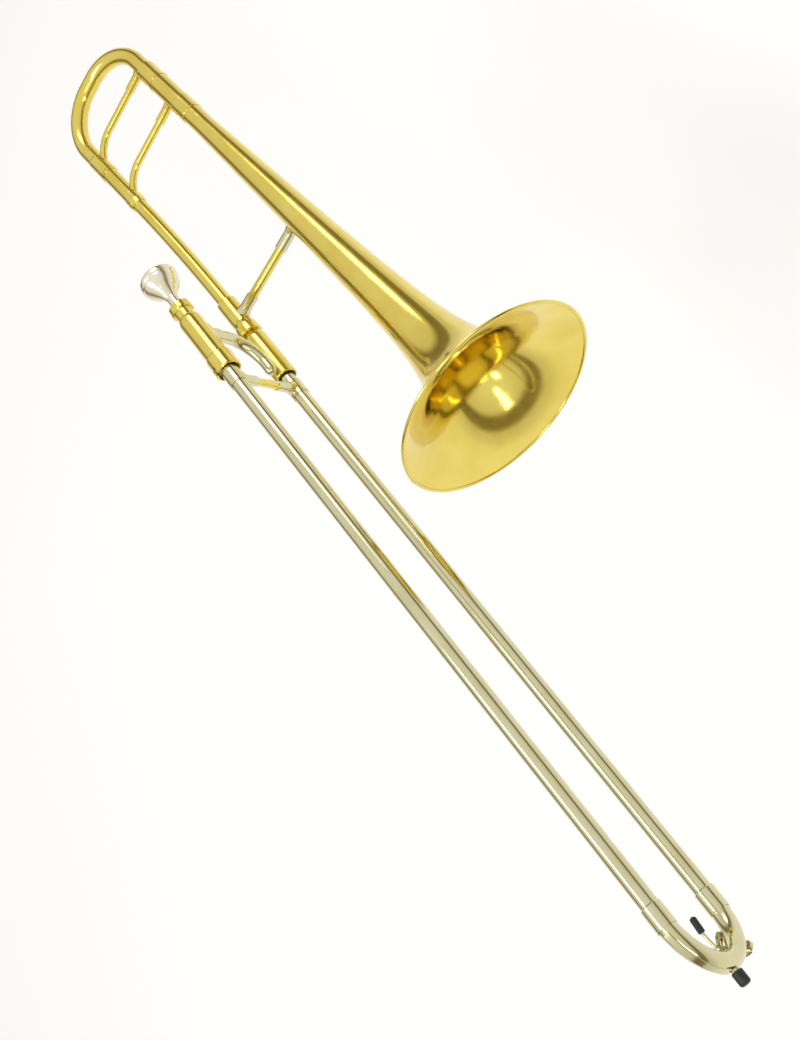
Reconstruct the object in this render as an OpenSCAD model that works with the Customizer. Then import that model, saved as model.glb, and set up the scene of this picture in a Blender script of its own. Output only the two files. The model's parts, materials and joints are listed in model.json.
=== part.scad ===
// Straight tenor trombone: nickel hand slide, brass bell section, plated mouthpiece.
// X points forward along the hand slide, Y to the player's left (the bell side), Z up.
// The origin lies midway between the two slide tubes, level with the mouths of the cork barrels.
// All sizes are in millimetres.

/* [Hand slide] */
// Distance between the axes of the upper and the lower slide tube
slide_spacing = 85; // [72:1:104]
// Length of the outer tubes from the barrel mouths to the bow joint
outer_slide_len = 627; // [500:1:760]
// Outside diameter of the outer slide tubes
outer_tube_d = 15.2; // [12.6:0.1:18.3]
// Wall of the outer slide tubes
outer_tube_wall = 0.65; // [0.5:0.05:0.7]
// Radial gap between the inner and the outer slide tubes behind the stockings
slide_gap = 0.3; // [0.2:0.05:0.4]
// Wall of the inner slide tubes
inner_tube_wall = 0.35; // [0.3:0.05:0.5]
// Length of the thicker stockings at the front of the inner tubes
stocking_len = 110; // [60:5:160]
// Radial running clearance between a stocking and its outer tube
slide_clearance = 0.08; // [0.04:0.01:0.15]
// How far the outer tubes reach back into the cork barrels
barrel_overlap = 9.7; // [6:0.1:11]
// How much wider the bow tube at the bottom of the slide is than the outer tubes
crook_step = 0.6; // [0.4:0.1:1]
// Wall of the ferrules that join the slide tubes to the bow
crook_ferrule_wall = 0.8; // [0.6:0.1:1.2]
// Length of the bow ferrules
crook_ferrule_len = 20; // [14:1:28]
// Distance of the outer hand brace from the barrel mouths
outer_brace_x = 17.5; // [16:0.5:30]
// Outside diameter of the outer hand brace
outer_brace_d = 8; // [6:0.5:9]

/* [Cork barrels] */
// Length of the upper cork barrel
upper_barrel_len = 68; // [60:1:80]
// Length of the lower cork barrel
lower_barrel_len = 63; // [60:1:80]
// Wall of the cork barrels
barrel_wall = 1.5; // [1.2:0.1:2]
// Depth of the recess that takes the cork and the end of the outer tube
barrel_recess = 18; // [14:1:22]
// Wall of the slide lock ring
lock_ring_wall = 2; // [1.6:0.1:2.6]
// Angle that the lock ring turns through
lock_turn = 25; // [15:1:35]
// Outside diameter of the curved inner brace
inner_brace_d = 12; // [8:0.5:13]
// Bend radius of the curved inner brace
inner_brace_bend = 33; // [18:1:36]

/* [Bow, bumper and water key] */
// Diameter of the rubber bumper at the end of the slide
bumper_d = 9.6; // [7:0.1:12]
// Length of the rubber bumper
bumper_len = 11.5; // [8:0.5:18]
// Where the water key sits round the bow, measured down from its foremost point
water_key_angle = 47; // [40:1:52]
// Bore of the water outlet
water_bore_d = 3; // [2:0.5:4]
// Diameter of the water key's hinge pin
key_pin_d = 2; // [1.6:0.1:2.4]
// Diameter of the cork pad in the water key
key_cork_d = 7.4; // [6:0.1:8]

/* [Bell section] */
// Diameter of the bell over its rim bead
bell_d = 203.2; // [165:0.1:245]
// Length from the back of the tuning receivers to the rim of the bell
bell_section_len = 570; // [510:1:680]
// Distance between the neckpipe side and the bell side
leg_spacing = 113; // [102:1:136]
// Angle at which the bell stands open from the hand slide
cant = 4.1; // [0.5:0.1:5]
// Outside diameter of the bell tail
bell_tail_d = 22.7; // [19:0.1:27]
// Wall of the bell
bell_wall = 0.9; // [0.6:0.1:1.4]
// Diameter of the wire bead round the rim
rim_bead_d = 3.2; // [2.4:0.1:4]
// Outside diameter of the neckpipe
neck_d = 15.6; // [13:0.1:18.7]
// Length of the curved stretch of the neckpipe
neck_arc_len = 188; // [150:1:230]
// Distance of the straight bell brace from the back of the tuning receivers
bell_brace_s = 268; // [250:1:269]
// Outside diameter of the bell brace
bell_brace_d = 9.4; // [6:0.1:11]

/* [Tuning slide] */
// Length of the tuning receivers
receiver_len = 58; // [50:1:70]
// Corner radius of the tuning bow
bow_corner_r = 50; // [30:1:50]
// Outside diameter of the tuning bow tube
bow_d = 18.6; // [16:0.1:21]
// Length of the straight legs behind the ferrules
bow_leg_len = 29; // [20:1:50]
// Diameter of the two curved braces
curved_brace_d = 8; // [5:0.1:9]
// Bend radius of the two curved braces
curved_brace_bend = 32; // [26:1:38]

/* [Mouthpiece] */
// Overall length of the mouthpiece
mouthpiece_len = 79; // [74:1:86]
// Outside diameter of the rim
mouthpiece_rim_d = 39; // [36:0.1:41]
// Inside diameter of the cup at the rim
mouthpiece_cup_d = 25.2; // [23:0.1:27]
// Depth of the cup
mouthpiece_cup_depth = 23; // [18:0.5:26]
// Throat of the mouthpiece
mouthpiece_throat_d = 6.4; // [5.5:0.1:7.5]
// How far the shank goes into the receiver
shank_depth = 35; // [28:1:38]

/* [Hidden] */

$fn = 72;
bend_facets = 360;

brass = [0.80, 0.68, 0.22];
nickel = [0.74, 0.72, 0.58];
silver = [0.86, 0.84, 0.74];
rubber = [0.05, 0.06, 0.05];
corkwood = [0.66, 0.45, 0.26];

upper_z = slide_spacing / 2;
lower_z = -slide_spacing / 2;

// Hand slide
outer_tube_id = outer_tube_d - 2 * outer_tube_wall;
inner_tube_d = outer_tube_id - 2 * slide_gap;
inner_tube_id = inner_tube_d - 2 * inner_tube_wall;
stocking_d = outer_tube_id - 2 * slide_clearance;
slide_end_room = 9;
inner_tube_end = outer_slide_len - slide_end_room;
leadpipe_len = 210;
leadpipe_wall = 0.4;
pipe_fit = 0.05;
solder_fit = 0.02;
crook_overhang = 5;
crook_stub = crook_ferrule_len / 2 - crook_overhang;
crook_x = outer_slide_len + crook_stub;
crook_r = slide_spacing / 2;
crook_id = outer_tube_id;
crook_tube_d = outer_tube_d + crook_step;
crook_ferrule_d = crook_tube_d + 2 * crook_ferrule_wall;
// The bend leaves the ferrule's axis by this much before the ferrule ends
crook_ferrule_clear = crook_r - sqrt(crook_r * crook_r - crook_overhang * crook_overhang) + 0.02;
collar_d = outer_tube_d + 2;
collar_start = 0.6;
collar_end = 8.5;
brace_sleeve_len = 17;
brace_stub_d = outer_brace_d + 2;
brace_stub_len = 21;
brace_seat = 4;

// Cork barrels
barrel_room = 2.4;
barrel_id = outer_tube_d + 2 * barrel_room;
barrel_d = barrel_id + 2 * barrel_wall;
barrel_shoulder = 6;
mouth_seat_wall = 0.8;
mouth_seat_len = 12;
lock_fit = 0.1;
lock_ring_id = barrel_d - 2 * (barrel_wall - mouth_seat_wall) + 2 * lock_fit;
lock_ring_d = lock_ring_id + 2 * lock_ring_wall;
lock_ring_front = 8.5;
ring_gap = 0.2;
lock_pin_d = 3;
lock_pin_angle = 118;
lock_slot_w = lock_pin_d + 0.8;
lock_slot_x = 1.2;
web_len = 6;
ring_fit = 0.35;
bumper_ring_len = 3;
cork_len = barrel_recess - barrel_overlap - 0.3;

// Mouthpiece receiver
receiver_back = -upper_barrel_len - 19;
receiver_ring_len = 9;
receiver_front = -upper_barrel_len + barrel_shoulder;
shank_fit = 0.05;
shank_tip_d = inner_tube_d - 2.9;
shank_taper = 1 / 22;
shank_entry_d = shank_tip_d + shank_depth * shank_taper;
receiver_neck_d = shank_entry_d + 6.4;
receiver_ring_d = receiver_neck_d + 4.2;
mouthpiece_rim_x = receiver_back + shank_depth - mouthpiece_len;

// Inner hand brace
inner_brace_x = -50;
inner_brace_socket_d = inner_brace_d + 1.6;
inner_brace_socket_len = 14;
inner_brace_bed = 1.5;
inner_brace_end = -9;

// Lower socket, tenon and lock nut
socket_front = -lower_barrel_len + barrel_shoulder;
socket_back = socket_front - 20.6;
socket_thread_d = inner_tube_d + 4.3;
socket_thread_end = socket_front - 10;
socket_pipe_d = inner_tube_d + 2.5;
socket_seat = 4;
tenon_tip_d = inner_tube_d + 0.7;
tenon_root_d = inner_tube_d + 1.3;
tenon_flange_d = socket_thread_d;
tenon_flange_len = 2;
tenon_d = inner_tube_d + 1.9;
tenon_back = socket_front - 49;
tenon_front = socket_front - socket_seat - 1;
nut_back = socket_front - 25;
nut_front = socket_front - 9;
nut_fit = 0.1;
sleeve_back = socket_front - 60;
sleeve_front = nut_back - 0.3;
sleeve_d = max(neck_d + 5.4, tenon_d + 5.8);
nut_d = max(socket_thread_d + 4.9, sleeve_d + 3);
neck_end = sleeve_back + 5;

// Bell section: a frame of its own, turned by the cant, whose X runs along the bell axis
neck_wall = 0.6;
neck_arc_r = neck_arc_len * 180 / (PI * cant);
receiver_clear = 0.1;
datum_to_arc = receiver_len + 2;
frame_x = neck_end - neck_arc_r * sin(cant) - datum_to_arc * cos(cant);
frame_y = -neck_arc_r * (1 - cos(cant)) - datum_to_arc * sin(cant);
receiver_wall = 0.65;
leg_wall = 0.6;
neck_receiver_d = neck_d + 2.2;
bell_receiver_d = bell_tail_d;
neck_leg_d = neck_receiver_d - 2 * receiver_wall - 2 * receiver_clear;
bell_leg_d = bell_receiver_d - 2 * receiver_wall - 2 * receiver_clear;
leg_inside = receiver_len - 2;
ferrule_lap = 12;
ferrule_wall = 0.65;

// Bell outline: a slow cone with the flare added near the rim
bell_start = receiver_len;
bell_cone = 0.028;
bell_cone_start = 35;
flare_depth = 80;
flare_power = 3;
rim_r = (bell_d - rim_bead_d) / 2;
bell_cone_r = bell_tail_d / 2 + bell_cone * (bell_section_len - bell_start - bell_cone_start);
bell_steps = 44;

// Bell brace: its feet stand on the neck sleeve and on the bell
function to_frame_v(x, y) = -(x - frame_x) * sin(cant) + (y - frame_y) * cos(cant);
function frame_x_at(s, v) = frame_x + s * cos(cant) - v * sin(cant);
sleeve_v = to_frame_v(frame_x_at(bell_brace_s, 0), 0);
bell_socket_len_neck = 18;
bell_socket_len_bell = 22;
bell_socket_d = bell_brace_d + 2.6;
bell_socket_bed = 6;
bell_brace_wall = 0.8;

// Tuning slide
split_gap = 0.2;
tuning_ferrule_len = 27;
bow_seat = 10;
leg_seat = 14;
tuning_ferrule_neck_d = max(bow_d + 1, neck_receiver_d + 1.8);
tuning_ferrule_bell_d = max(bow_d + 1, bell_tail_d);
bow_wall = 0.7;
bow_front = -tuning_ferrule_len + bow_seat;
bow_back = bow_front - bow_leg_len;
curved_brace_sweep = 72;
curved_brace_bed = 0.4;
tuning_brace_s = -34;
receiver_brace_s = 31;
brace_ferrule_d = curved_brace_d + 2;
brace_ferrule_len = 20;
brace_ferrule_seat = 5;

// Water key, in a frame at the bow tube's centre: X outwards, Z along the tube
crook_tube_r = crook_tube_d / 2;
nipple_d = 5.4;
nipple_top = crook_tube_r + 2.5;
cork_top = nipple_top + 2.6;
cup_d = key_cork_d + 1.8;
cup_bottom = nipple_top + 0.8;
cup_top = cork_top + 1.2;
hinge_d = 4;
hinge_len = 13;
hinge_gap = 1.25;
hinge_direction = 230;
hinge_dist = crook_tube_r + hinge_d / 2 + hinge_gap;
hinge_n = hinge_dist * cos(hinge_direction);
hinge_y = hinge_dist * sin(hinge_direction);
lug_len = 2;
lug_gap = 0.15;
pin_fit = 0.03;
saddle_w = 5;
arm_w = 5;
arm_t = 1.6;
arm_z = hinge_len / 2 - arm_w / 2;
arm_centre_n = 1.5;
arm_mid_r = (cork_top + cup_top) / 2 - arm_centre_n;
arm_top = cup_top + 0.4;
arm_overrun = 8;
rod_d = 2.6;
rod_knee_d = 3;
touch_d = 5.6;
spring_wire = 0.8;
spring_turns = 5;
spring_z0 = -hinge_len / 2 + 0.6;
spring_pitch = 1.15;
spring_r = hinge_d / 2 + 0.2 + spring_wire / 2;
// The rod's corners, given from the centre of the bow in the plane of the slide
rod_bend = [27, -15];
touch_near = [14, -12.5];
touch_far = [1, -14.5];

// ---------------------------------------------------------------- helpers

// Turned shape about an axis along X: points are [x, radius]
module turned(points) {
  rotate([0, 90, 0])
    rotate_extrude()
      polygon([for (p = points) [p[1], p[0]]]);
}

// Straight tube along X
module tube_x(x0, x1, d_out, d_in) {
  translate([x0, 0, 0])
    rotate([0, 90, 0])
      difference() {
        cylinder(d = d_out, h = x1 - x0);
        translate([0, 0, -1])
          cylinder(d = d_in, h = x1 - x0 + 2);
      }
}

// Solid rod along X
module rod_x(x0, x1, d) {
  translate([x0, 0, 0])
    rotate([0, 90, 0])
      cylinder(d = d, h = x1 - x0);
}

// Turns and moves its children so that their Z axis runs from a to b
module along(a, b) {
  span = b - a;
  flat = norm([span[0], span[1]]);
  translate(a)
    rotate([0, atan2(flat, span[2]), atan2(span[1], span[0])])
      children();
}

// Round rod between two points
module rod_between(a, b, d) {
  along(a, b)
    cylinder(d = d, h = norm(b - a));
}

// Part of a ring: turns about Z from angle a0 through sweep, in the XY plane
module bend(r, d, a0, sweep) {
  rotate([0, 0, a0])
    rotate_extrude(angle = sweep, $fn = bend_facets)
      translate([r, 0])
        circle(d = d);
}

module upper() translate([0, 0, upper_z]) children();
module lower() translate([0, 0, lower_z]) children();

// Frame of the bell section
module bell_frame() {
  translate([frame_x, frame_y, lower_z])
    rotate([0, 0, cant])
      children();
}

module bell_side() translate([0, leg_spacing, 0]) children();

// Half of the bow at the bottom of the slide, as a full half ring
module crook_ring(d) {
  translate([crook_x, 0, 0])
    rotate([90, 0, 0])
      bend(crook_r, d, -90, 180);
}

// Frame on the bow tube at the water key
module key_frame() {
  translate([crook_x, 0, 0])
    rotate([0, water_key_angle, 0])
      translate([crook_r, 0, 0])
        children();
}

// ---------------------------------------------------------------- mouthpiece

function rim_arc(cx, cr, r, a0, a1) =
  [for (i = [0 : 8]) let (a = a0 + (a1 - a0) * i / 8) [cx + r * cos(a), cr + r * sin(a)]];

module mouthpiece() {
  rim_out = mouthpiece_rim_d / 2;
  cup_r = mouthpiece_cup_d / 2;
  throat_r = mouthpiece_throat_d / 2;
  shank_start = mouthpiece_len - shank_depth;
  bowl_start = 8;
  bowl_len = 24;
  neck_r = shank_entry_d / 2 + 0.1;
  bowl_r = rim_out - 0.9;
  rim_edge = 3.2;
  outer = concat(
    rim_arc(rim_edge, rim_out - rim_edge, rim_edge, 180, 90),
    [[7, rim_out], [7.6, rim_out - 0.8]],
    [for (i = [0 : 16]) let (t = i / 16)
      [bowl_start + bowl_len * t, neck_r + (bowl_r - neck_r) * (1 + cos(180 * t)) / 2]],
    [[shank_start, shank_entry_d / 2], [mouthpiece_len, shank_tip_d / 2]]
  );
  bite_r = 1.8;
  inner = concat(
    [[mouthpiece_len, shank_tip_d / 2 - 0.7], [mouthpiece_cup_depth + 4, throat_r]],
    [for (i = [12 : -1 : 0]) let (a = i * 7.5)
      [bite_r + (mouthpiece_cup_depth - bite_r) * sin(a), throat_r + (cup_r - throat_r) * cos(a)]],
    rim_arc(bite_r, cup_r + bite_r, bite_r, 270, 180)
  );
  color(silver)
    upper()
      translate([mouthpiece_rim_x, 0, 0])
        turned(concat(outer, inner));
}

module mouthpiece_receiver() {
  ring_r = receiver_ring_d / 2;
  edge = 1;
  ring_front = receiver_back + receiver_ring_len;
  entry_r = shank_entry_d / 2 + shank_fit;
  exit_r = entry_r - (receiver_front - receiver_back) * shank_taper / 2;
  color(brass)
    upper()
      turned([
        [receiver_back, entry_r],
        [receiver_back, ring_r - edge],
        [receiver_back + edge, ring_r],
        [ring_front - edge, ring_r],
        [ring_front, ring_r - edge],
        [ring_front, receiver_neck_d / 2],
        [receiver_front, receiver_neck_d / 2],
        [receiver_front, exit_r]
      ]);
}

module leadpipe() {
  d = inner_tube_id - 2 * pipe_fit;
  color(brass)
    upper()
      tube_x(receiver_front, receiver_front + leadpipe_len, d, d - 2 * leadpipe_wall);
}

// ---------------------------------------------------------------- cork barrels

// Turned barrel: rear shoulder, shell, web behind the recess, and an optional seat for the ring
module barrel(length, rear_d, seat_d, seat_len) {
  r = barrel_d / 2;
  bore = inner_tube_d / 2;
  turned(concat(
    [[-length, rear_d / 2]],
    [for (i = [0 : 8]) let (a = i * 90 / 8)
      [-length + barrel_shoulder * (1 - cos(a)), rear_d / 2 + 0.6 + (r - rear_d / 2 - 0.6) * sin(a)]],
    seat_len > 0
      ? [[-seat_len, r], [-seat_len, seat_d / 2], [0, seat_d / 2]]
      : [[-0.8, r], [0, r - 0.8]],
    [
      [0, barrel_id / 2],
      [-barrel_recess, barrel_id / 2],
      [-barrel_recess, bore],
      [-barrel_recess - web_len, bore],
      [-barrel_recess - web_len, barrel_id / 2],
      [-length + barrel_shoulder + 3, barrel_id / 2],
      [-length + barrel_shoulder, barrel_id / 2 - 1.6],
      [-length + barrel_shoulder, rear_d / 2]
    ]
  ));
}

module cork_barrel_upper() {
  color(brass)
    upper()
      barrel(upper_barrel_len, receiver_neck_d, lock_ring_id - 2 * lock_fit, mouth_seat_len);
}

module cork_barrel_lower() {
  color(brass)
    lower()
      barrel(lower_barrel_len, socket_pipe_d, 0, 0);
}

module barrel_cork() {
  color(corkwood)
    tube_x(-barrel_recess, -barrel_recess + cork_len, barrel_id - 0.1, inner_tube_d + 0.2);
}

module barrel_bumper() {
  color(rubber)
    tube_x(-bumper_ring_len, 0, barrel_id, outer_tube_d + 2 * ring_fit);
}

module barrel_cork_upper() upper() barrel_cork();
module barrel_cork_lower() lower() barrel_cork();
module barrel_bumper_upper() upper() barrel_bumper();
module barrel_bumper_lower() lower() barrel_bumper();

// Ring with a bayonet slot: an entry from the front and a stretch round to the locked place
module slide_lock_ring() {
  slot_half = asin((lock_slot_w + 0.8) / lock_ring_id);
  wall_r = (lock_ring_id + lock_ring_d) / 4;
  color(brass)
    upper()
      difference() {
        turned([
          [-mouth_seat_len + ring_gap, lock_ring_id / 2],
          [-mouth_seat_len + ring_gap, lock_ring_d / 2 - 1],
          [-mouth_seat_len + 1.6, lock_ring_d / 2],
          [lock_ring_front - 1, lock_ring_d / 2],
          [lock_ring_front, lock_ring_d / 2 - 1],
          [lock_ring_front, lock_ring_id / 2]
        ]);
        rotate([90, 0, 90])
          rotate([0, 0, lock_pin_angle - slot_half])
            rotate_extrude(angle = lock_turn + 2 * slot_half)
              translate([wall_r - 3, lock_slot_x])
                square([6, lock_slot_w]);
        rotate([lock_pin_angle, 0, 0])
          translate([lock_slot_x + 1, wall_r - 3, -lock_slot_w / 2])
            cube([lock_ring_front, 6, lock_slot_w]);
      }
}

// ---------------------------------------------------------------- inner slide

module inner_tube_upper() {
  color(nickel)
    upper()
      tube_x(receiver_front, inner_tube_end, inner_tube_d, inner_tube_id);
}

module inner_tube_lower() {
  color(nickel)
    lower()
      tube_x(socket_front - socket_seat, inner_tube_end, inner_tube_d, inner_tube_id);
}

module stocking() {
  color(nickel)
    tube_x(inner_tube_end - stocking_len, inner_tube_end, stocking_d, inner_tube_d);
}

module stocking_upper() upper() stocking();
module stocking_lower() lower() stocking();

// Curved brace: straight down from the upper barrel, then forward along the lower one
module inner_brace() {
  lie_z = lower_z + barrel_d / 2 + inner_brace_d / 2 - inner_brace_bed;
  top_z = upper_z - barrel_d / 2 - 2;
  color(nickel)
    difference() {
      union() {
        translate([inner_brace_x, 0, lie_z + inner_brace_bend])
          cylinder(d = inner_brace_d, h = top_z - lie_z - inner_brace_bend);
        translate([inner_brace_x + inner_brace_bend, 0, lie_z + inner_brace_bend])
          rotate([90, 0, 0])
            bend(inner_brace_bend, inner_brace_d, 180, 90);
        translate([0, 0, lie_z])
          rod_x(inner_brace_x + inner_brace_bend, inner_brace_end, inner_brace_d);
        translate([inner_brace_end, 0, lie_z])
          sphere(d = inner_brace_d);
      }
      lower()
        rod_x(-lower_barrel_len - 1, 5, barrel_d);
    }
}

module inner_brace_socket() {
  base_z = upper_z - barrel_d / 2;
  color(nickel)
    difference() {
      union() {
        translate([inner_brace_x, 0, base_z - inner_brace_socket_len])
          cylinder(d = inner_brace_socket_d, h = inner_brace_socket_len + 4);
        translate([inner_brace_x, 0, base_z - 3])
          cylinder(d1 = inner_brace_socket_d, d2 = inner_brace_socket_d + 5, h = 6);
      }
      upper()
        rod_x(-upper_barrel_len, 0, barrel_d);
      translate([inner_brace_x, 0, base_z - inner_brace_socket_len - 1])
        cylinder(d = inner_brace_d, h = inner_brace_socket_len - 1);
    }
}

// Threaded socket behind the lower barrel, with a tapered bore for the bell tenon
module slide_socket() {
  taper_front = tenon_front + 0.5;
  color(brass)
    lower()
      turned([
        [socket_back, tenon_root_d / 2 + pipe_fit],
        [socket_back, socket_thread_d / 2 - 0.4],
        [socket_back + 0.4, socket_thread_d / 2],
        [socket_thread_end, socket_thread_d / 2],
        [socket_thread_end, socket_pipe_d / 2],
        [socket_front, socket_pipe_d / 2],
        [socket_front, inner_tube_d / 2],
        [taper_front, inner_tube_d / 2],
        [taper_front, tenon_tip_d / 2 + pipe_fit]
      ]);
}

// ---------------------------------------------------------------- outer slide

module outer_tube() {
  color(nickel)
    tube_x(-barrel_overlap, outer_slide_len, outer_tube_d, outer_tube_id);
}

module outer_tube_upper() upper() outer_tube();
module outer_tube_lower() lower() outer_tube();

// Collar on the upper tube, with the pin that the lock ring catches
module lock_collar() {
  color(nickel)
    upper()
      difference() {
        union() {
          rod_x(collar_start, collar_end, collar_d);
          translate([lock_slot_x + lock_slot_w / 2, 0, 0])
            rotate([lock_pin_angle - 90, 0, 0])
              cylinder(d = lock_pin_d, h = lock_ring_d / 2 - 0.4);
        }
        rod_x(collar_start - 1, collar_end + 1, outer_tube_d);
      }
}

module outer_brace_tube() {
  reach = slide_spacing / 2 - outer_tube_d / 2 - brace_stub_len + brace_seat;
  color(brass)
    translate([outer_brace_x, 0, -reach])
      cylinder(d = outer_brace_d, h = 2 * reach);
}

// Sleeve round the slide tube with a flared stub towards the other tube
module outer_brace_socket() {
  stub_end = outer_tube_d / 2 + brace_stub_len;
  sleeve_start = outer_brace_x - brace_sleeve_len / 2 + 1.2;
  difference() {
    union() {
      rod_x(sleeve_start, sleeve_start + brace_sleeve_len, collar_d);
      translate([outer_brace_x, 0, 0])
        cylinder(d = brace_stub_d, h = stub_end);
      translate([outer_brace_x, 0, collar_d / 2 - 2])
        cylinder(d1 = brace_stub_d + 4, d2 = brace_stub_d, h = 5);
    }
    rod_x(sleeve_start - 5, sleeve_start + brace_sleeve_len + 5, outer_tube_d);
    translate([outer_brace_x, 0, stub_end - brace_seat])
      cylinder(d = outer_brace_d, h = brace_seat + 1);
  }
}

module outer_brace_socket_upper() {
  color(nickel)
    upper()
      mirror([0, 0, 1])
        outer_brace_socket();
}

module outer_brace_socket_lower() {
  color(nickel)
    lower()
      outer_brace_socket();
}

module crook_ferrule() {
  half = crook_ferrule_len / 2;
  bend_r = crook_tube_d / 2 + crook_ferrule_clear;
  edge = (crook_ferrule_d / 2 - bend_r) / 2;
  color(nickel)
    turned([
      [outer_slide_len - half, outer_tube_d / 2],
      [outer_slide_len - half, crook_ferrule_d / 2 - 0.5],
      [outer_slide_len - half + 0.8, crook_ferrule_d / 2],
      [outer_slide_len + half - 0.8, crook_ferrule_d / 2],
      [outer_slide_len + half, crook_ferrule_d / 2 - edge],
      [outer_slide_len + half, bend_r],
      [outer_slide_len, bend_r],
      [outer_slide_len, outer_tube_d / 2]
    ]);
}

module crook_ferrule_upper() upper() crook_ferrule();
module crook_ferrule_lower() lower() crook_ferrule();

module slide_crook() {
  color(nickel)
    difference() {
      union() {
        translate([crook_x, 0, 0])
          rotate([90, 0, 0])
            rotate([0, 0, -90])
              rotate_extrude(angle = 180, $fn = bend_facets)
                translate([crook_r, 0])
                  difference() {
                    circle(d = crook_tube_d);
                    circle(d = crook_id);
                  }
        upper() tube_x(outer_slide_len, crook_x, crook_tube_d, crook_id);
        lower() tube_x(outer_slide_len, crook_x, crook_tube_d, crook_id);
      }
      key_frame()
        rod_x(0, crook_tube_d, water_bore_d);
    }
}

// Strip that guards the outside of the bow
module crook_guard() {
  guard_w = 5;
  guard_t = 1;
  start = 10;
  sweep = 70;
  color(nickel)
    translate([crook_x, 0, 0])
      rotate([90, 0, 0])
        rotate([0, 0, start])
          rotate_extrude(angle = sweep, $fn = bend_facets)
            difference() {
              translate([crook_r + crook_tube_r - 1, -guard_w / 2])
                square([1 + guard_t, guard_w]);
              translate([crook_r, 0])
                circle(d = crook_tube_d);
            }
}

module bumper_stud() {
  base_x = crook_x + crook_r + crook_tube_r;
  color(nickel)
    difference() {
      union() {
        rod_x(base_x - 1.5, base_x + 1, bumper_d - 1.6);
        rod_x(base_x, base_x + bumper_len * 0.6, 4);
      }
      crook_ring(crook_tube_d);
    }
}

module slide_bumper() {
  base_x = crook_x + crook_r + crook_tube_r + 1;
  r = bumper_d / 2;
  edge = 2;
  stud_end = base_x - 1 + bumper_len * 0.6;
  color(rubber)
    turned(concat(
      [[base_x, 2], [base_x, r - 0.6], [base_x + 0.6, r]],
      [for (i = [0 : 6]) let (a = i * 15)
        [base_x + bumper_len - edge + edge * sin(a), r - edge + edge * cos(a)]],
      [[base_x + bumper_len, 0], [stud_end, 0], [stud_end, 2]]
    ));
}

// ---------------------------------------------------------------- water key

module water_key_nipple() {
  color(nickel)
    difference() {
      key_frame()
        tube_x(crook_tube_r - 2.4, nipple_top, nipple_d, water_bore_d);
      crook_ring(crook_tube_d);
    }
}

// One lug: a round eye on a foot that stands on the bow tube
module key_lug() {
  difference() {
    linear_extrude(lug_len)
      union() {
        translate([hinge_n, hinge_y]) circle(d = hinge_d);
        rotate([0, 0, hinge_direction])
          translate([crook_tube_r - 2, -hinge_d / 2])
            square([hinge_dist - crook_tube_r + 2, hinge_d]);
      }
    translate([hinge_n, hinge_y, -1])
      cylinder(d = key_pin_d, h = lug_len + 2);
  }
}

module water_key_saddle() {
  lug_z = hinge_len / 2 + lug_gap;
  color(nickel)
    difference() {
      key_frame()
        union() {
          translate([0, 0, lug_z]) key_lug();
          translate([0, 0, -lug_z - lug_len]) key_lug();
          rotate([0, 0, hinge_direction])
            translate([crook_tube_r - 2, -saddle_w / 2, -lug_z - lug_len + 0.2])
              cube([2.15, saddle_w, 2 * (lug_z + lug_len) - 0.4]);
        }
      crook_ring(crook_tube_d);
    }
}

module water_key_pin() {
  half = hinge_len / 2 + lug_gap + lug_len + 0.3;
  color(nickel)
    key_frame()
      translate([hinge_n, hinge_y, -half])
        cylinder(d = key_pin_d, h = 2 * half);
}

function crook_point(p) = [crook_x + p[0], hinge_y, p[1]];

// Hinge tube, cup with its curved arm, and the rod to the finger touch
module water_key_lever() {
  arm_start = atan2(hinge_y, hinge_n - arm_centre_n) + 360;
  rod_z = 1;
  hinge_at = [
    (crook_r + hinge_n) * cos(water_key_angle) + rod_z * sin(water_key_angle),
    -(crook_r + hinge_n) * sin(water_key_angle) + rod_z * cos(water_key_angle)
  ];
  color(nickel)
    difference() {
      union() {
        key_frame() {
          translate([hinge_n, hinge_y, -hinge_len / 2])
            cylinder(d = hinge_d, h = hinge_len);
          translate([arm_centre_n, 0, arm_z])
            rotate([0, 0, arm_start])
              rotate_extrude(angle = 360 - arm_start + arm_overrun, $fn = bend_facets)
                translate([arm_mid_r - arm_t / 2, -arm_w / 2])
                  square([arm_t, arm_w]);
          translate([cup_bottom + 1, -arm_w / 2, 0])
            cube([arm_top - cup_bottom - 1, arm_w, arm_z]);
          rod_x(cup_bottom, cup_top, cup_d);
        }
        rod_between(crook_point(hinge_at), crook_point(rod_bend), rod_d);
        translate(crook_point(rod_bend)) sphere(d = rod_knee_d);
        rod_between(crook_point(rod_bend), crook_point(touch_near), rod_d);
        translate(crook_point(touch_near)) sphere(d = rod_knee_d);
        rod_between(crook_point(touch_near), crook_point(touch_far), rod_d);
      }
      key_frame() {
        translate([hinge_n, hinge_y, -hinge_len])
          cylinder(d = key_pin_d + 2 * pin_fit, h = 2 * hinge_len);
        rod_x(cup_bottom - 1, cork_top, key_cork_d);
      }
    }
}

module water_key_touch() {
  a = crook_point(touch_near);
  b = crook_point(touch_far);
  rod_len = norm(b - a);
  r = touch_d / 2;
  edge = 2.2;
  start = 1;
  end = rod_len + 1.6;
  color(rubber)
    along(a, b)
      rotate_extrude()
        polygon(concat(
          [[rod_d / 2, start], [r - 0.5, start], [r, start + 0.5]],
          [for (i = [0 : 6]) let (t = i * 15)
            [r - edge + edge * cos(t), end - edge + edge * sin(t)]],
          [[0, end], [0, rod_len], [rod_d / 2, rod_len]]
        ));
}

module water_key_cork() {
  color(corkwood)
    key_frame()
      rod_x(nipple_top, cork_top, key_cork_d);
}

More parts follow.
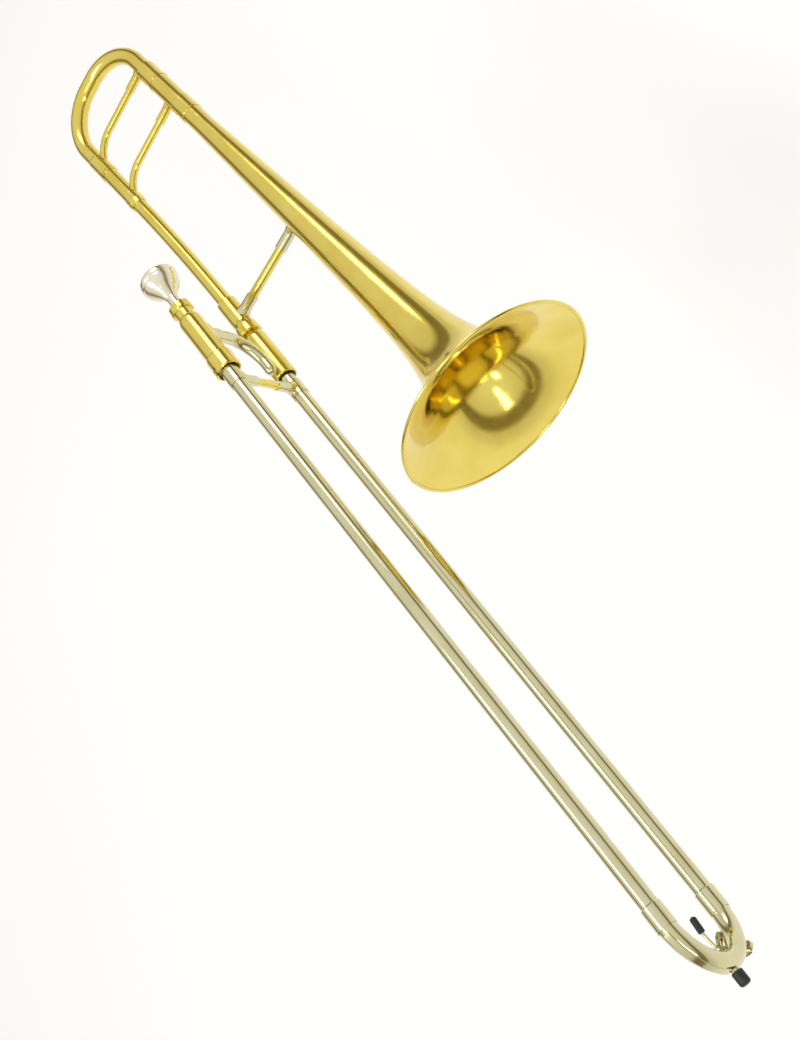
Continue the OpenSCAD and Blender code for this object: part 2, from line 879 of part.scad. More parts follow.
// Coil spring round the hinge tube: a wire swept along a helix
module water_key_spring() {
  sides = 8;
  per_turn = 14;
  rings = per_turn * spring_turns;
  wire_r = spring_wire / 2;
  points = [
    for (i = [0 : rings]) let (a = i * 360 / per_turn)
      for (k = [0 : sides - 1]) let (b = k * 360 / sides)
        [
          hinge_n + (spring_r + wire_r * cos(b)) * cos(a),
          hinge_y + (spring_r + wire_r * cos(b)) * sin(a),
          spring_z0 + wire_r + i * spring_pitch / per_turn + wire_r * sin(b)
        ]
  ];
  walls = [
    for (i = [0 : rings - 1])
      for (k = [0 : sides - 1]) let (n = (k + 1) % sides)
        [i * sides + k, (i + 1) * sides + k, (i + 1) * sides + n, i * sides + n]
  ];
  ends = [
    [for (k = [0 : sides - 1]) k],
    [for (k = [sides - 1 : -1 : 0]) rings * sides + k]
  ];
  color(nickel)
    key_frame()
      polyhedron(points = points, faces = concat(walls, ends));
}

// ---------------------------------------------------------------- bell joint

module bell_lock_nut() {
  lip_front = nut_back + 1.8;
  bore = socket_thread_d / 2 + nut_fit;
  color(brass)
    lower()
      turned([
        [nut_back, tenon_d / 2 + nut_fit],
        [nut_back, sleeve_d / 2 + 0.2],
        [nut_back + 5, nut_d / 2],
        [nut_front - 1.2, nut_d / 2],
        [nut_front, nut_d / 2 - 1.2],
        [nut_front, bore],
        [lip_front, bore],
        [lip_front, tenon_d / 2 + nut_fit]
      ]);
}

module bell_tenon() {
  flange_back = nut_back + 2;
  flange_front = flange_back + tenon_flange_len;
  bore = inner_tube_id / 2;
  color(brass)
    lower()
      turned([
        [tenon_back, bore],
        [tenon_back, tenon_d / 2],
        [flange_back, tenon_d / 2],
        [flange_back, tenon_flange_d / 2],
        [flange_front, tenon_flange_d / 2],
        [flange_front, tenon_root_d / 2],
        [tenon_front, tenon_tip_d / 2],
        [tenon_front, bore]
      ]);
}

module neck_sleeve() {
  color(brass)
    lower()
      turned([
        [sleeve_back, neck_d / 2 + pipe_fit],
        [sleeve_back, sleeve_d / 2 - 0.8],
        [sleeve_back + 1.2, sleeve_d / 2],
        [sleeve_front, sleeve_d / 2],
        [sleeve_front, tenon_d / 2],
        [tenon_back, tenon_d / 2],
        [tenon_back, neck_d / 2 + pipe_fit]
      ]);
}

// Neckpipe: a gentle bend that opens the bell section away from the slide
module neckpipe() {
  facets = 2400;
  color(brass)
    union() {
      translate([neck_end, -neck_arc_r, lower_z])
        rotate([0, 0, 90])
          rotate_extrude(angle = cant, $fn = facets)
            translate([neck_arc_r, 0])
              difference() {
                circle(d = neck_d, $fn = 72);
                circle(d = neck_d - 2 * neck_wall, $fn = 72);
              }
      lower()
        tube_x(neck_end, tenon_back, neck_d, neck_d - 2 * neck_wall);
    }
}

// ---------------------------------------------------------------- bell brace

module bell_brace_tube() {
  v0 = sleeve_v + sleeve_d / 2 + bell_socket_bed;
  v1 = leg_spacing - bell_outer_r(bell_brace_s) - bell_socket_bed;
  color(brass)
    bell_frame()
      translate([bell_brace_s, v0, 0])
        rotate([-90, 0, 0])
          difference() {
            cylinder(d = bell_brace_d, h = v1 - v0);
            translate([0, 0, -1])
              cylinder(d = bell_brace_d - 2 * bell_brace_wall, h = v1 - v0 + 2);
          }
}

// Socket that flares out at its foot: it stands at v_foot and points along the given direction
module brace_socket(v_foot, length, direction) {
  foot = 4;
  translate([bell_brace_s, v_foot, 0])
    rotate([-90 * direction, 0, 0])
      difference() {
        union() {
          translate([0, 0, -foot])
            cylinder(d = bell_socket_d, h = length + foot);
          translate([0, 0, -foot])
            cylinder(d1 = bell_socket_d + 5, d2 = bell_socket_d, h = foot + 3);
        }
        translate([0, 0, bell_socket_bed])
          cylinder(d = bell_brace_d, h = length);
      }
}

module bell_brace_socket_neck() {
  color(nickel)
    difference() {
      bell_frame()
        brace_socket(sleeve_v + sleeve_d / 2, bell_socket_len_neck, 1);
      lower()
        rod_x(sleeve_back - 20, sleeve_front + 20, sleeve_d);
    }
}

module bell_brace_socket_bell() {
  reach = 14;
  color(nickel)
    bell_frame()
      difference() {
        brace_socket(leg_spacing - bell_outer_r(bell_brace_s), bell_socket_len_bell, -1);
        bell_side()
          turned([
            [bell_brace_s - reach, 0],
            [bell_brace_s - reach, bell_outer_r(bell_brace_s - reach)],
            [bell_brace_s + reach, bell_outer_r(bell_brace_s + reach)],
            [bell_brace_s + reach, 0]
          ]);
      }
}

// ---------------------------------------------------------------- bell

function flare(d) = pow(flare_depth / (d + flare_depth), flare_power);
flare_at_start = flare(bell_section_len - bell_start);
function bell_outer_r(s) =
  bell_tail_d / 2 + bell_cone * max(0, s - bell_start - bell_cone_start)
  + (rim_r - bell_cone_r) * (flare(bell_section_len - s) - flare_at_start) / (1 - flare_at_start);
// Stations along the bell, closer together towards the rim
function bell_station(i) =
  bell_start + (bell_section_len - bell_start) * (1 - pow(1 - i / bell_steps, 2.2));

module bell() {
  color(brass)
    bell_frame()
      bell_side()
        difference() {
          turned(concat(
            [for (i = [0 : bell_steps]) let (s = bell_station(i)) [s, bell_outer_r(s)]],
            [for (i = [bell_steps : -1 : 0]) let (s = bell_station(i))
              [s + wall_shift(s), bell_outer_r(s) - wall_drop(s)]]
          ));
          rim_bead_shape();
        }
}

// The wall is measured square to the outline, so its inner side shifts with the slope
function bell_slope(s) = (bell_outer_r(s) - bell_outer_r(s - 0.5)) / 0.5;
function wall_drop(s) = bell_wall / sqrt(1 + pow(bell_slope(s), 2));
function wall_shift(s) = s > bell_start ? wall_drop(s) * bell_slope(s) : 0;

module rim_bead_shape() {
  translate([bell_section_len + bell_wall * 0.5, 0, 0])
    rotate([0, 90, 0])
      rotate_extrude()
        translate([rim_r, 0])
          circle(d = rim_bead_d, $fn = 32);
}

module bell_rim_bead() {
  color(brass)
    bell_frame()
      bell_side()
        rim_bead_shape();
}

// ---------------------------------------------------------------- tuning slide

module tuning_receiver_neck() {
  color(brass)
    bell_frame()
      union() {
        tube_x(0, receiver_len, neck_receiver_d, neck_receiver_d - 2 * receiver_wall);
        tube_x(0, 3, neck_receiver_d + 1.4, neck_receiver_d - 2 * receiver_wall);
      }
}

module tuning_receiver_bell() {
  color(brass)
    bell_frame()
      bell_side()
        union() {
          tube_x(0, receiver_len, bell_receiver_d, bell_receiver_d - 2 * receiver_wall);
          tube_x(0, 2.4, bell_receiver_d + 1, bell_receiver_d - 2 * receiver_wall);
        }
}

module receiver_ferrule_neck() {
  back = receiver_len - 5;
  step = receiver_len + 2;
  front = receiver_len + 8;
  r = neck_receiver_d / 2 + ferrule_wall;
  color(brass)
    bell_frame()
      turned([
        [back, neck_receiver_d / 2],
        [back, r],
        [step, r],
        [front, neck_d / 2 + 0.7],
        [front, neck_d / 2 + pipe_fit],
        [step, neck_d / 2 + pipe_fit],
        [step, neck_receiver_d / 2 - receiver_wall],
        [receiver_len, neck_receiver_d / 2 - receiver_wall],
        [receiver_len, neck_receiver_d / 2]
      ]);
}

module receiver_ferrule_bell() {
  r = bell_tail_d / 2;
  lap = ferrule_lap;
  color(brass)
    bell_frame()
      bell_side()
        turned([
          [receiver_len - lap, r],
          [receiver_len - lap, r + ferrule_wall - 0.3],
          [receiver_len - lap + 0.6, r + ferrule_wall],
          [receiver_len + lap - 0.6, r + ferrule_wall],
          [receiver_len + lap, r + ferrule_wall - 0.3],
          [receiver_len + lap, bell_outer_r(receiver_len + lap) + solder_fit],
          [receiver_len, r + solder_fit],
          [receiver_len, r]
        ]);
}

// Curved brace from the bell side down to the neck side, which it meets at a slant
module curved_brace(s, seat_d, bell_seat_d) {
  r = curved_brace_d / 2;
  end_v = sqrt(pow(seat_d / 2, 2) - r * r) - r - curved_brace_bed;
  bend_v = end_v + curved_brace_bend * sin(curved_brace_sweep);
  top_v = leg_spacing - bell_seat_d / 2 - brace_ferrule_len + brace_ferrule_seat;
  end_s = s + curved_brace_bend * (1 - cos(curved_brace_sweep));
  difference() {
    union() {
      translate([s, bend_v, 0])
        rotate([-90, 0, 0])
          cylinder(d = curved_brace_d, h = top_v - bend_v);
      translate([s + curved_brace_bend, bend_v, 0])
        bend(curved_brace_bend, curved_brace_d, 180, curved_brace_sweep);
    }
    rod_x(s, end_s + curved_brace_bend, seat_d);
  }
}

module curved_brace_socket(s, seat_d) {
  length = brace_ferrule_len;
  difference() {
    translate([s, leg_spacing - seat_d / 2 - length, 0])
      rotate([-90, 0, 0])
        difference() {
          union() {
            cylinder(d = brace_ferrule_d, h = length + 3);
            translate([0, 0, length - 3])
              cylinder(d1 = brace_ferrule_d, d2 = brace_ferrule_d + 3, h = 5);
          }
          translate([0, 0, -1])
            cylinder(d = curved_brace_d, h = brace_ferrule_seat + 1);
        }
    bell_side()
      rod_x(s - 20, s + 20, seat_d);
  }
}

module receiver_brace() {
  color(brass)
    bell_frame()
      curved_brace(receiver_brace_s, neck_receiver_d, bell_receiver_d);
}

module receiver_brace_socket() {
  color(brass)
    bell_frame()
      curved_brace_socket(receiver_brace_s, bell_receiver_d);
}

// The moving bow: two corners and a short straight between them
module tuning_bow() {
  mid = leg_spacing - 2 * bow_corner_r;
  color(brass)
    bell_frame()
      difference() {
        bow_solid(bow_d, bow_front, mid);
        bow_solid(bow_d - 2 * bow_wall, bow_front + 1, mid);
      }
}

module bow_solid(d, leg_end, mid) {
  rod_x(bow_back, leg_end, d);
  bell_side() rod_x(bow_back, leg_end, d);
  translate([bow_back, bow_corner_r, 0])
    bend(bow_corner_r, d, 180, 90);
  translate([bow_back, leg_spacing - bow_corner_r, 0])
    bend(bow_corner_r, d, 90, 90);
  translate([bow_back - bow_corner_r, bow_corner_r, 0])
    rotate([-90, 0, 0])
      cylinder(d = d, h = mid);
}

// Ferrule of the tuning slide: bow tube in at the back, leg out at the front
module tuning_ferrule(d, leg_d) {
  back = -tuning_ferrule_len;
  turned([
    [back, bow_d / 2],
    [back, max(d / 2 - 0.8, bow_d / 2 + 0.15)],
    [back + 1.2, d / 2],
    [-split_gap, d / 2],
    [-split_gap, leg_d / 2],
    [back + leg_seat, leg_d / 2],
    [back + leg_seat, leg_d / 2 - leg_wall],
    [bow_front, min(leg_d / 2 - leg_wall, bow_d / 2 - bow_wall)],
    [bow_front, bow_d / 2]
  ]);
}

module tuning_ferrule_neck() {
  color(brass)
    bell_frame()
      tuning_ferrule(tuning_ferrule_neck_d, neck_leg_d);
}

module tuning_ferrule_bell() {
  color(brass)
    bell_frame()
      bell_side()
        tuning_ferrule(tuning_ferrule_bell_d, bell_leg_d);
}

module tuning_leg(d) {
  tube_x(-tuning_ferrule_len + leg_seat, leg_inside, d, d - 2 * leg_wall);
}

module tuning_leg_neck() {
  color(nickel)
    bell_frame()
      tuning_leg(neck_leg_d);
}

module tuning_leg_bell() {
  color(nickel)
    bell_frame()
      bell_side()
        tuning_leg(bell_leg_d);
}

module tuning_brace() {
  color(brass)
    bell_frame()
      curved_brace(tuning_brace_s, tuning_ferrule_neck_d, bow_d);
}

module tuning_brace_socket() {
  color(brass)
    bell_frame()
      curved_brace_socket(tuning_brace_s, bow_d);
}

// ---------------------------------------------------------------- output

mouthpiece();
mouthpiece_receiver();
leadpipe();
cork_barrel_upper();
cork_barrel_lower();
barrel_cork_upper();
barrel_cork_lower();
barrel_bumper_upper();
barrel_bumper_lower();
slide_lock_ring();
inner_tube_upper();
inner_tube_lower();
stocking_upper();
stocking_lower();
inner_brace();
inner_brace_socket();
slide_socket();
outer_tube_upper();
outer_tube_lower();
lock_collar();
outer_brace_tube();
outer_brace_socket_upper();
outer_brace_socket_lower();
crook_ferrule_upper();
crook_ferrule_lower();
slide_crook();
crook_guard();
bumper_stud();
slide_bumper();
water_key_nipple();
water_key_saddle();
water_key_pin();
water_key_lever();
water_key_touch();
water_key_cork();
water_key_spring();
bell_lock_nut();
bell_tenon();
neck_sleeve();
neckpipe();
bell_brace_tube();
bell_brace_socket_neck();
bell_brace_socket_bell();
tuning_receiver_neck();
tuning_receiver_bell();
receiver_ferrule_neck();
receiver_ferrule_bell();
receiver_brace();
receiver_brace_socket();
bell();
bell_rim_bead();
tuning_bow();
tuning_ferrule_neck();
tuning_ferrule_bell();
tuning_leg_neck();
tuning_leg_bell();
tuning_brace();
tuning_brace_socket();
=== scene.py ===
"""The looks of the slide trombone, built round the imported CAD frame."""
import json
import math

import bmesh
import bpy
from mathutils import Matrix, Vector


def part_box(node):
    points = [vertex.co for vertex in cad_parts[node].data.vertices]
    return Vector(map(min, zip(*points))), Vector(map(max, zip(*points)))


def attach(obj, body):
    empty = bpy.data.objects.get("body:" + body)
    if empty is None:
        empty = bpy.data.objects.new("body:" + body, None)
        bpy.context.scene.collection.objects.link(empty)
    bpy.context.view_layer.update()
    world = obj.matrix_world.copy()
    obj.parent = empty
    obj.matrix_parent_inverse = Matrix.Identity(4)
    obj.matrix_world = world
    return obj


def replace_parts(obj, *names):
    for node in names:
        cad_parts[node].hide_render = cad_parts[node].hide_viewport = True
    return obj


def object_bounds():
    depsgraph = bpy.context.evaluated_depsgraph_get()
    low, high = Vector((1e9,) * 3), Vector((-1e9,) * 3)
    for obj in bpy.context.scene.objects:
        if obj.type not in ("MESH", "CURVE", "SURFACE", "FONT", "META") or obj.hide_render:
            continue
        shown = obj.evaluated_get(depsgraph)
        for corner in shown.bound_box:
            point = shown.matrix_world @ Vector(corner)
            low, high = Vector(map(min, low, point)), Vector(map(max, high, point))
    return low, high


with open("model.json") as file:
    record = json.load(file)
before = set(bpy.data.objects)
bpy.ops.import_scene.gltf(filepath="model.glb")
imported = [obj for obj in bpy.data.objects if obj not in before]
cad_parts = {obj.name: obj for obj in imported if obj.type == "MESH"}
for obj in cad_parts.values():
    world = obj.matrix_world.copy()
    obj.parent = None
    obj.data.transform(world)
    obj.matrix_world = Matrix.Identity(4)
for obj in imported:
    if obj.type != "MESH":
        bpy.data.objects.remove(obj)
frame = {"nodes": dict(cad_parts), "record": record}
cad_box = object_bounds()
NODES = frame["nodes"]
MM = 0.001

# ---------------------------------------------------------------- materials


class Shade:
    """A node material with short helpers to add and join nodes."""

    def __init__(self, name, color, roughness, metallic=1.0, **uniform):
        self.mat = bpy.data.materials.new(name)
        self.mat.use_nodes = True
        self.tree = self.mat.node_tree
        self.bsdf = self.tree.nodes["Principled BSDF"]
        self.bsdf.inputs["Base Color"].default_value = (*color, 1.0)
        self.bsdf.inputs["Roughness"].default_value = roughness
        self.bsdf.inputs["Metallic"].default_value = metallic
        for key, value in uniform.items():
            self.bsdf.inputs[key.replace("_", " ")].default_value = value
        self.coords = self.add("ShaderNodeTexCoord").outputs["Object"]

    def add(self, kind, **settings):
        node = self.tree.nodes.new(kind)
        for key, value in settings.items():
            setattr(node, key, value)
        return node

    def link(self, a, b):
        self.tree.links.new(a, b)

    def scaled(self, x, y, z, source=None):
        mapping = self.add("ShaderNodeMapping")
        mapping.inputs["Scale"].default_value = (x, y, z)
        self.link(source or self.coords, mapping.inputs["Vector"])
        return mapping.outputs["Vector"]

    def noise(self, vector, scale, detail=3.0, rough=0.55):
        node = self.add("ShaderNodeTexNoise")
        node.inputs["Scale"].default_value = scale
        node.inputs["Detail"].default_value = detail
        node.inputs["Roughness"].default_value = rough
        self.link(vector, node.inputs["Vector"])
        return node.outputs["Fac"]

    def ramp(self, fac, stops):
        node = self.add("ShaderNodeValToRGB")
        points = node.color_ramp.elements
        points[0].position, points[0].color = stops[0][0], (*stops[0][1], 1.0)
        points[1].position, points[1].color = stops[-1][0], (*stops[-1][1], 1.0)
        for place, color in stops[1:-1]:
            point = points.new(place)
            point.color = (*color, 1.0)
        self.link(fac, node.inputs["Fac"])
        return node.outputs["Color"]

    def span(self, fac, low, high, a, b):
        node = self.add("ShaderNodeMapRange")
        for key, value in (("From Min", low), ("From Max", high), ("To Min", a), ("To Max", b)):
            node.inputs[key].default_value = value
        self.link(fac, node.inputs["Value"])
        return node.outputs["Result"]

    def bump(self, height, strength, distance, after=None):
        node = self.add("ShaderNodeBump")
        node.inputs["Strength"].default_value = strength
        node.inputs["Distance"].default_value = distance
        self.link(height, node.inputs["Height"])
        if after:
            self.link(after, node.inputs["Normal"])
        return node.outputs["Normal"]

    def to(self, socket, output):
        self.link(output, self.bsdf.inputs[socket])


def polished_metal(name, clean, worn, roughness, along=(1.0, 1.0, 1.0), coat=0.0):
    """Polished metal: clouds of slightly worn colour, haze, and hairlines drawn along one direction."""
    shade = Shade(name, clean, roughness, Coat_Weight=coat, Coat_Roughness=0.04)
    clouds = shade.noise(shade.coords, 28.0, 4.0)
    mid = [(a + b) / 2 for a, b in zip(clean, worn)]
    shade.to("Base Color", shade.ramp(clouds, [(0.34, clean), (0.60, mid), (0.80, worn)]))
    haze = shade.noise(shade.coords, 75.0, 5.0, 0.65)
    shade.to("Roughness", shade.span(haze, 0.35, 0.75, roughness * 0.75, roughness * 1.6))
    hairlines = shade.noise(shade.scaled(*along), 900.0, 2.0)
    waves = shade.noise(shade.coords, 22.0, 1.0)
    soft = shade.bump(waves, 0.05, 0.0003)
    shade.to("Normal", shade.bump(hairlines, 0.05, 0.00003, soft))
    return shade.mat


def rubber_material():
    shade = Shade("rubber", (0.010, 0.011, 0.010), 0.5, metallic=0.0)
    grain = shade.noise(shade.coords, 1800.0, 4.0)
    dust = shade.noise(shade.coords, 160.0, 4.0, 0.7)
    shade.to("Base Color", shade.ramp(dust, [(0.45, (0.008, 0.009, 0.008)), (0.8, (0.030, 0.030, 0.028))]))
    shade.to("Roughness", shade.span(dust, 0.3, 0.7, 0.42, 0.62))
    shade.to("Normal", shade.bump(grain, 0.35, 0.00012))
    return shade.mat


def cork_material():
    shade = Shade("cork", (0.45, 0.27, 0.13), 0.85, metallic=0.0)
    cells = shade.add("ShaderNodeTexVoronoi")
    cells.inputs["Scale"].default_value = 1400.0
    shade.link(shade.coords, cells.inputs["Vector"])
    flecks = shade.noise(shade.coords, 700.0, 4.0, 0.7)
    shade.to("Base Color", shade.ramp(flecks, [
        (0.36, (0.16, 0.075, 0.03)), (0.5, (0.42, 0.25, 0.12)), (0.7, (0.58, 0.38, 0.2))]))
    shade.to("Normal", shade.bump(cells.outputs["Distance"], 0.5, 0.0002))
    return shade.mat


BRASS_CLEAN, BRASS_WORN = (0.82, 0.66, 0.14), (0.73, 0.55, 0.08)
NICKEL_CLEAN, NICKEL_WORN = (0.71, 0.67, 0.43), (0.62, 0.565, 0.31)
SILVER_CLEAN, SILVER_WORN = (0.90, 0.85, 0.68), (0.74, 0.66, 0.45)

FINISH = {
    "lacquered_brass": polished_metal("brass", BRASS_CLEAN, BRASS_WORN, 0.13, (0.25, 1, 1), coat=0.5),
    "nickel_silver": polished_metal("nickel", NICKEL_CLEAN, NICKEL_WORN, 0.10, (0.04, 1, 1)),
    "silver_plate": polished_metal("silver", SILVER_CLEAN, SILVER_WORN, 0.17, (1, 0.1, 0.1)),
    "black_rubber": rubber_material(),
    "cork": cork_material(),
}

# ---------------------------------------------------------------- CAD nodes

slot_of = {part["node"]: part["material_slot"] for part in frame["record"]["subparts"]}
body_of = {node: body for body, nodes in frame["record"]["behaviour"]["bodies"].items() for node in nodes}
for name, node in NODES.items():
    node.data.materials.clear()
    node.data.materials.append(FINISH[slot_of[name]])

# ---------------------------------------------------------------- smooth turned pieces

mounts = {mount["name"]: mount for mount in frame["record"]["mounts"]}


def axis_frame(origin, forward):
    """A frame whose X runs along forward, with Z as near upright as it can be."""
    x = Vector(forward).normalized()
    y = Vector((0, 0, 1)).cross(x).normalized()
    z = x.cross(y)
    return Matrix.Translation(origin) @ Matrix((x, y, z)).transposed().to_4x4()


def node_axis(node):
    """Frame of a piece turned about X: its origin is on the axis, level with the row's origin."""
    a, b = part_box(node)
    return Matrix.Translation((0, (a.y + b.y) / 2, (a.z + b.z) / 2))


def turned(name, outline, place, node, steps=160, sharp=32):
    """A closed outline of (x, radius) points in millimetres, turned about the X axis of place."""
    built = bmesh.new()
    rings = []
    for x, r in outline:
        count = 1 if r < 1e-6 else steps
        rings.append([
            built.verts.new(place @ Vector((
                x * MM,
                r * MM * math.cos(math.tau * k / steps),
                r * MM * math.sin(math.tau * k / steps),
            ))) for k in range(count)
        ])
    for here, there in zip(rings, rings[1:] + rings[:1]):
        for k in range(steps):
            n = (k + 1) % steps
            corners = [here[k % len(here)], there[k % len(there)], there[n % len(there)], here[n % len(here)]]
            corners = list(dict.fromkeys(corners))
            if len(corners) > 2:
                built.faces.new(corners)
    bmesh.ops.recalc_face_normals(built, faces=built.faces)
    mesh = bpy.data.meshes.new(name)
    built.to_mesh(mesh)
    built.free()
    mesh.shade_smooth()
    mesh.set_sharp_from_angle(angle=math.radians(sharp))
    mesh.materials.append(FINISH[slot_of[node]])
    piece = bpy.data.objects.new(name, mesh)
    bpy.context.scene.collection.objects.link(piece)
    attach(piece, body_of[node])
    return piece


def arc(x, r, radius, start, end, count=10):
    """Points round an arc in the outline's plane, angles in degrees."""
    angles = [math.radians(start + (end - start) * i / count) for i in range(count + 1)]
    return [(x + radius * math.cos(a), r + radius * math.sin(a)) for a in angles]


def make_bell():
    """The bell: a slow cone with a flare added near the rim, and a wire bead round the edge."""
    mouth = mounts["bell_mouth"]
    axis = axis_frame(mouth["pos_m"], mouth["axis"])
    along = [(axis.inverted() @ v.co).x / MM for v in NODES["bell"].data.vertices]
    bead_low, bead_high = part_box("bell_rim_bead")
    bead = 1.6
    rim = (bead_high.z - bead_low.z) / MM / 2 - bead
    back, wall = min(along), 0.9
    tail, cone, cone_start, flare_depth, flare_power = 11.35, 0.028, 35.0, 80.0, 3.0
    straight_end = tail + cone * (-back - cone_start)

    def flare(x):
        return (flare_depth / (flare_depth - x)) ** flare_power

    def radius(x):
        opened = (flare(x) - flare(back)) / (1 - flare(back))
        return tail + cone * max(0.0, x - back - cone_start) + (rim - straight_end) * opened

    def station(i, count):
        return back * (1 - i / count) ** 2.0

    count = 150
    outside, inside = [], []
    for i in range(count + 1):
        x = station(i, count)
        slope = (radius(x) - radius(x - 0.2)) / 0.2
        drop = wall / math.hypot(1, slope)
        outside.append((x, radius(x)))
        inside.append((x + (drop * slope if i else 0), radius(x) - drop))
    shell = turned("bell_shell", outside + inside[::-1], axis, "bell", steps=256, sharp=60)
    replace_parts(shell, "bell")
    ring = turned("bell_bead", arc(wall / 2, rim, bead, 0, 345, 23), axis, "bell_rim_bead", steps=256, sharp=60)
    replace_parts(ring, "bell_rim_bead")


def make_mouthpiece():
    a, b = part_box("mouthpiece")
    place = node_axis("mouthpiece") @ Matrix.Translation((a.x, 0, 0))
    length, rim = (b.x - a.x) / MM, (b.y - a.y) / MM / 2
    edge, bite, cup, depth, throat = 3.2, 1.8, 12.6, 23.0, 3.2
    shank, entry, tip = length - 35.0, 6.0, 5.2
    bowl_start, bowl_len, neck, bowl = 8.0, 24.0, entry + 0.1, rim - 0.9
    quarter = [math.radians(a * 3) for a in range(31)]
    outline = arc(edge, rim - edge, edge, 180, 90, 14)
    outline += [(6.6, rim), (7.0, rim - 0.15), (7.4, rim - 0.6)]
    outline += [(bowl_start + bowl_len * i / 40, neck + (bowl - neck) * (1 + math.cos(math.pi * i / 40)) / 2)
                for i in range(41)]
    outline += [(shank, entry), (length - 0.3, tip), (length, tip - 0.3), (length, tip - 0.7), (depth + 4, throat)]
    outline += [(bite + (depth - bite) * math.sin(t), throat + (cup - throat) * math.cos(t)) for t in quarter[::-1]]
    outline += arc(bite, cup + bite, bite, 270, 180, 10)
    piece = turned("mouthpiece_body", outline, place, "mouthpiece", steps=144, sharp=40)
    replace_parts(piece, "mouthpiece")


def make_barrel(node, rear, seat):
    """A cork barrel: rounded rear shoulder, plain body, and a lip at the mouth."""
    a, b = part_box(node)
    place = node_axis(node)
    back, r = a.x / MM, (b.y - a.y) / MM / 2
    shoulder, bore = 6.0, r - 1.5
    outline = [(back, rear)]
    outline += [(back + shoulder * (1 - math.cos(t)), rear + 0.6 + (r - rear - 0.6) * math.sin(t))
                for t in (math.radians(6 * i) for i in range(16))]
    if seat:
        outline += [(-12.4, r), (-12.0, r - 0.4), (-12.0, seat), (-0.3, seat), (0, seat - 0.3)]
    else:
        outline += arc(-0.8, r - 0.8, 0.8, 90, 0, 5)
    outline += [(0, bore), (-18.0, bore), (-18.0, bore - 3.2), (-24.0, bore - 3.2), (-24.0, bore)]
    outline += [(back + 9, bore), (back + 6, bore - 1.6), (back + 6, rear)]
    piece = turned(node + "_turned", outline, place, node, steps=128)
    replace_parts(piece, node)


def tube_outline(x0, x1, outer, inner, edge=0.15):
    """A tube with its outer and inner edges just broken."""
    return [(x0, inner), (x0, outer - edge), (x0 + edge, outer), (x1 - edge, outer), (x1, outer - edge), (x1, inner)]


def make_tube(node, wall, edge=0.15):
    a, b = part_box(node)
    outer = (b.y - a.y) / MM / 2
    outline = tube_outline(a.x / MM, b.x / MM, outer, outer - wall, edge)
    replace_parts(turned(node + "_drawn", outline, node_axis(node), node, steps=96), node)


def make_lock_nut():
    """The nut that clamps the bell: a cone behind, then a plain grip with rounded ends."""
    node = "bell_lock_nut"
    a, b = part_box(node)
    back, front, r = a.x / MM, b.x / MM, (b.y - a.y) / MM / 2
    thread, lip = r - 3.1, r - 4.3
    outline = [(back, lip), (back, r - 1.5), (back + 0.2, r - 1.3)]
    outline += arc(back + 5.6, r - 0.8, 0.8, 150, 90, 6)
    outline += arc(front - 1.2, r - 1.2, 1.2, 90, 0, 8)
    outline += [(front, thread), (back + 1.8, thread), (back + 1.8, lip)]
    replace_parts(turned("lock_nut_turned", outline, node_axis(node), node, steps=128), node)


def make_bumper():
    node = "slide_bumper"
    a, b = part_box(node)
    back, front, r = a.x / MM, b.x / MM, (b.y - a.y) / MM / 2
    hole, deep = 2.0, (front - back) * 0.5
    outline = [(back, hole)] + arc(back + 0.7, r - 0.7, 0.7, 180, 90, 6)
    outline += arc(front - 2.2, r - 2.2, 2.2, 90, 0, 12)
    outline += [(front, 0), (back + deep, 0), (back + deep, hole)]
    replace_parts(turned("bumper_moulded", outline, node_axis(node), node, steps=96, sharp=50), node)


make_bell()
make_mouthpiece()
make_lock_nut()
make_bumper()
for tube, wall in (
    ("outer_tube_upper", 0.65), ("outer_tube_lower", 0.65), ("inner_tube_upper", 0.35),
    ("inner_tube_lower", 0.35), ("stocking_upper", 0.22), ("stocking_lower", 0.22),
):
    make_tube(tube, wall)
make_barrel("cork_barrel_upper", 9.2, 10.8)
make_barrel("cork_barrel_lower", 7.9, None)

# ---------------------------------------------------------------- stage

low, high = cad_box
centre = (low + high) / 2
FLOOR_DROP = 0.5
FLOOR_SIZE = 60.0


def floor_material():
    shade = Shade("floor", (0.93, 0.93, 0.93), 0.9, metallic=0.0)
    mottling = shade.noise(shade.coords, 0.8, 2.0)
    shade.to("Base Color", shade.ramp(mottling, [(0.3, (0.95, 0.95, 0.955)), (0.7, (0.97, 0.97, 0.975))]))
    shade.bsdf.inputs["Specular IOR Level"].default_value = 0.1
    return shade.mat


def make_floor():
    mesh = bpy.data.meshes.new("floor")
    grid = bmesh.new()
    bmesh.ops.create_grid(grid, x_segments=8, y_segments=8, size=FLOOR_SIZE / 2)
    grid.to_mesh(mesh)
    grid.free()
    mesh.materials.append(floor_material())
    floor = bpy.data.objects.new("floor", mesh)
    floor.location = (centre.x, centre.y, low.z - FLOOR_DROP)
    bpy.context.scene.collection.objects.link(floor)


def area_light(name, place, size, watts, aim=centre, color=(1, 1, 1)):
    lamp = bpy.data.lights.new(name, "AREA")
    lamp.shape = "RECTANGLE"
    lamp.size, lamp.size_y = size
    lamp.energy = watts
    lamp.color = color
    holder = bpy.data.objects.new(name, lamp)
    holder.location = place
    holder.rotation_mode = "QUATERNION"
    holder.rotation_quaternion = (aim - Vector(place)).to_track_quat("-Z", "Y")
    bpy.context.scene.collection.objects.link(holder)


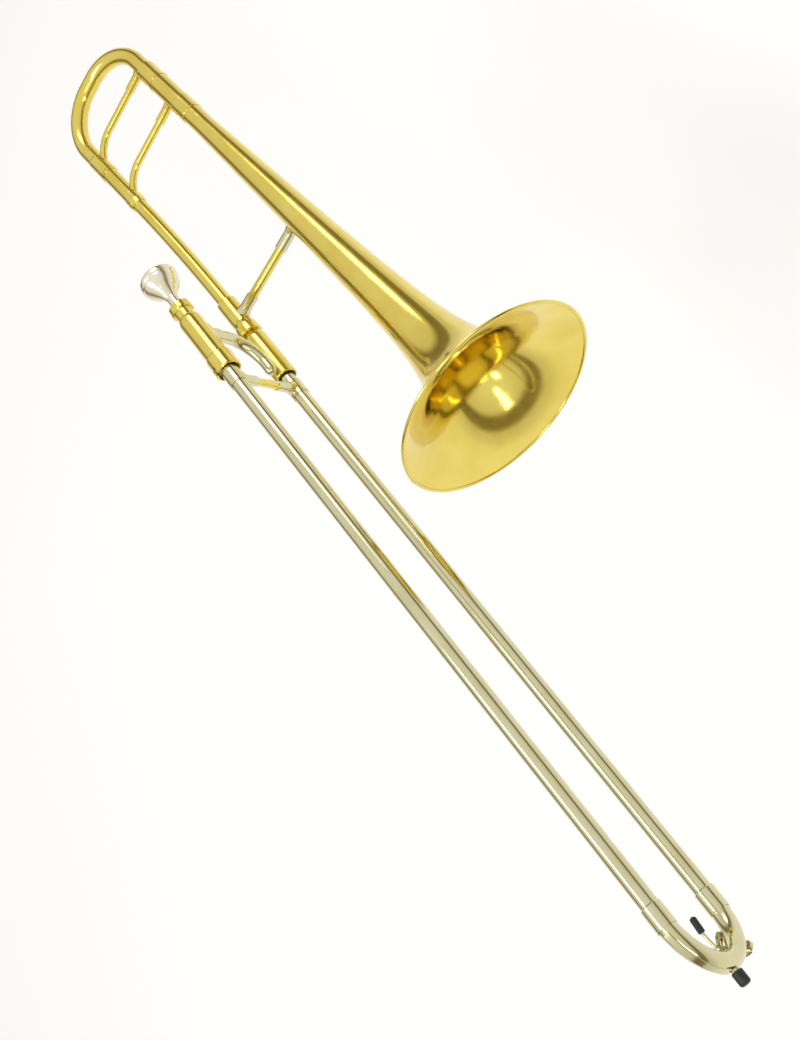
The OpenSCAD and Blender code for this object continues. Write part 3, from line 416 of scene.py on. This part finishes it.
def make_world():
    """A soft white room: reflections find a darker band low on the walls, the camera sees plain pale grey."""
    world = bpy.data.worlds.new("studio")
    world.use_nodes = True
    tree = world.node_tree
    out, room = tree.nodes["World Output"], tree.nodes["Background"]
    coords = tree.nodes.new("ShaderNodeTexCoord")
    split = tree.nodes.new("ShaderNodeSeparateXYZ")
    tree.links.new(coords.outputs["Generated"], split.inputs["Vector"])
    ramp = tree.nodes.new("ShaderNodeValToRGB")
    stops = ramp.color_ramp.elements
    stops[0].position, stops[0].color = 0.0, (0.55, 0.52, 0.46, 1)
    stops[1].position, stops[1].color = 1.0, (0.80, 0.80, 0.80, 1)
    for place, color in (
        (0.06, (0.24, 0.20, 0.13, 1)),
        (0.28, (0.20, 0.17, 0.11, 1)),
        (0.42, (0.66, 0.65, 0.60, 1)),
    ):
        stops.new(place).color = color
    tree.links.new(split.outputs["Z"], ramp.inputs["Fac"])
    room.inputs["Strength"].default_value = 0.9
    tree.links.new(ramp.outputs["Color"], room.inputs["Color"])
    backdrop = tree.nodes.new("ShaderNodeBackground")
    backdrop.inputs["Color"].default_value = (1.0, 1.0, 1.0, 1)
    rays = tree.nodes.new("ShaderNodeLightPath")
    mix = tree.nodes.new("ShaderNodeMixShader")
    tree.links.new(rays.outputs["Is Camera Ray"], mix.inputs["Fac"])
    tree.links.new(room.outputs["Background"], mix.inputs[1])
    tree.links.new(backdrop.outputs["Background"], mix.inputs[2])
    tree.links.new(mix.outputs["Shader"], out.inputs["Surface"])
    bpy.context.scene.world = world


def make_camera():
    stands = Vector((0.84707, 0.51611, 1.02243))
    ahead = Vector((-0.48005, -0.38379, -0.78883))
    above = Vector((-0.68119, 0.72968, 0.05954))
    right = ahead.cross(above).normalized()
    above = right.cross(ahead).normalized()
    camera = bpy.data.cameras.new("camera")
    camera.sensor_width = 36.0
    camera.lens = 51.92
    holder = bpy.data.objects.new("camera", camera)
    turn = Matrix((right, above, -ahead.normalized())).transposed().to_4x4()
    holder.matrix_world = Matrix.Translation(stands) @ turn
    bpy.context.scene.collection.objects.link(holder)
    bpy.context.scene.camera = holder


make_floor()
make_world()
area_light("key", (0.4, -1.0, 2.4), (2.4, 0.5), 16)
area_light("fill", (-1.6, 1.4, 1.6), (1.0, 1.0), 8)
area_light("end", (2.2, 0.4, 1.6), (0.4, 1.6), 6)
make_camera()
bpy.context.scene.view_settings.view_transform = "Standard"
bpy.context.scene.view_settings.exposure = 0.38
